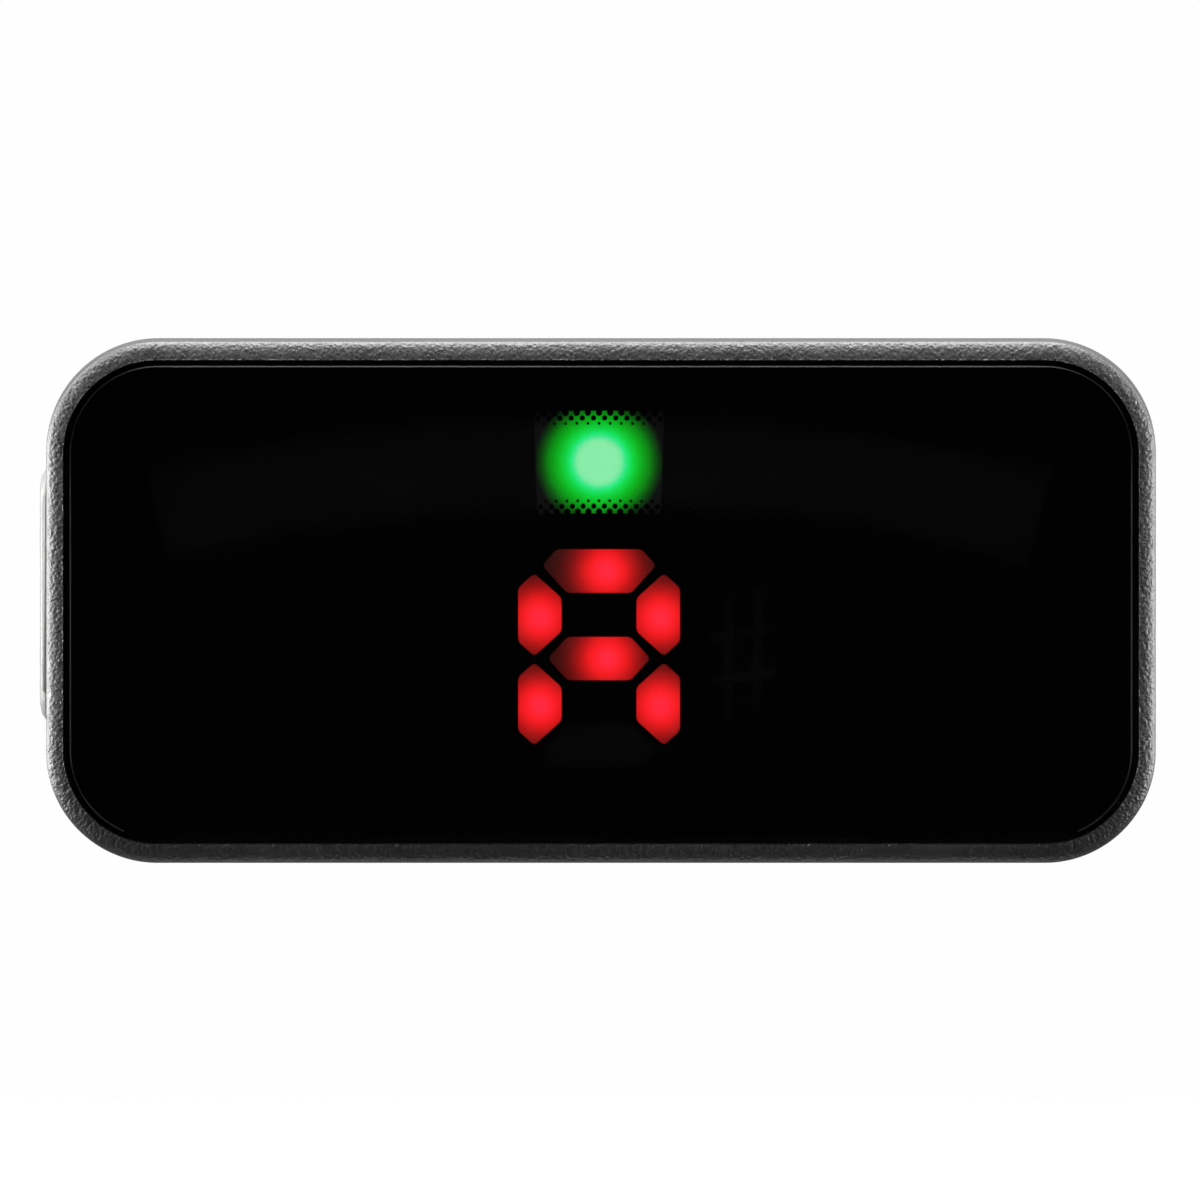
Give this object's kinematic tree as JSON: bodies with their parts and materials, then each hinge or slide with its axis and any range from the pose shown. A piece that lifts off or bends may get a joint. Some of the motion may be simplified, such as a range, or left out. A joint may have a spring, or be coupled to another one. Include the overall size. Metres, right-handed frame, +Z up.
{
  "type": "clip on tuner",
  "caption": "Clip on instrument tuner: wide display head with a lit letter and meter, tilting and swivelling on a sprung two-jaw clip.",
  "frame": {"origin": "centre of the fixed jaw pad's gripping face", "axes": "+X along the head's width to the viewer's right, +Y from the display back to the moving jaw, +Z up"},
  "size_m": [0.0583, 0.0452, 0.0274],
  "materials": {
    "shell": "fine pebble moulded black ABS",
    "lens": "polished smoked acrylic",
    "film": "black printed film with clear windows",
    "diffuser": "translucent white sheet",
    "reflector": "moulded white",
    "board": "green solder mask",
    "led_green": "lit green chip",
    "led_red": "lit red chip",
    "led_off": "unlit chip",
    "chip_black": "black moulded package",
    "plunger": "ivory moulded",
    "button": "satin dark grey",
    "cell": "brushed bright metal can",
    "can": "bright can",
    "contact": "plated spring strip",
    "brass": "plain sheet",
    "ceramic": "silvered face",
    "wire_red": "red insulation",
    "wire_black": "black insulation",
    "steel": "bright zinc plate",
    "nylon": "natural nylon",
    "pad": "soft moulded rubber"
  },
  "bodies": {
    "clip": {"clip_frame": "shell", "fixed_pad": "pad", "finger_grip": "pad", "jaw_pin": "steel", "pin_retainer": "steel", "torsion_spring": "steel"},
    "jaw": {"moving_jaw": "shell", "moving_pad": "pad", "thumb_grip": "pad"},
    "neck": {"neck": "shell", "swivel_washer": "nylon", "swivel_screw": "steel", "tilt_washer_left": "nylon", "tilt_washer_right": "nylon"},
    "button": {"power_button": "button", "switch_plunger": "plunger"},
    "hatch": {"battery_hatch": "shell"},
    "head": {"front_bezel": "shell", "rear_cover": "shell", "display_lens": "lens", "mask_film": "film", "diffuser_sheet": "diffuser", "light_box": "reflector", "circuit_board": "board", "meter_led_4": "led_green", "digit_led_top": "led_red", "digit_led_middle": "led_red", "digit_led_upper_left": "led_red", "digit_led_upper_right": "led_red", "digit_led_lower_left": "led_red", "digit_led_lower_right": "led_red", "meter_led_1": "led_off", "meter_led_2": "led_off", "meter_led_3": "led_off", "meter_led_5": "led_off", "meter_led_6": "led_off", "meter_led_7": "led_off", "digit_led_bottom": "led_off", "sharp_led": "led_off", "microcontroller": "chip_black", "power_switch": "chip_black", "battery_cell": "cell", "crystal": "can", "battery_contact_pos": "contact", "battery_contact_neg": "contact", "piezo_plate": "brass", "piezo_ceramic": "ceramic", "piezo_lead_signal": "wire_red", "piezo_lead_ground": "wire_black", "case_screw_1": "steel", "case_screw_2": "steel", "case_screw_3": "steel", "case_screw_4": "steel", "tilt_screw": "steel", "tilt_nut": "steel"}
  },
  "joints": [
    {"name": "neck_swivel", "type": "hinge", "parent": "clip", "child": "neck", "pos_m": [0.0195, -0.0059, 0], "axis": [0, 1, 0], "continuous": true},
    {"name": "display_tilt", "type": "hinge", "parent": "neck", "child": "head", "pos_m": [0.0195, -0.0124, 0], "axis": [1, 0, 0], "range_deg": [-45, 45]},
    {"name": "power_button_press", "type": "slide", "parent": "head", "child": "button", "axis": [1, 0, 0], "range_m": [0, 0.0005], "stiffness_N_per_m": 80, "springref_m": -0.002},
    {"name": "battery_hatch_slide", "type": "slide", "parent": "head", "child": "hatch", "axis": [1, 0, 0], "range_m": [0, 0.021]},
    {"name": "jaw_open", "type": "hinge", "parent": "clip", "child": "jaw", "pos_m": [0.0255, 0.0012, 0], "axis": [0, 0, -1], "range_deg": [0, 36], "stiffness_Nm_per_rad": 0.12, "springref_deg": -68.75, "deforming": ["torsion_spring"]}
  ]
}
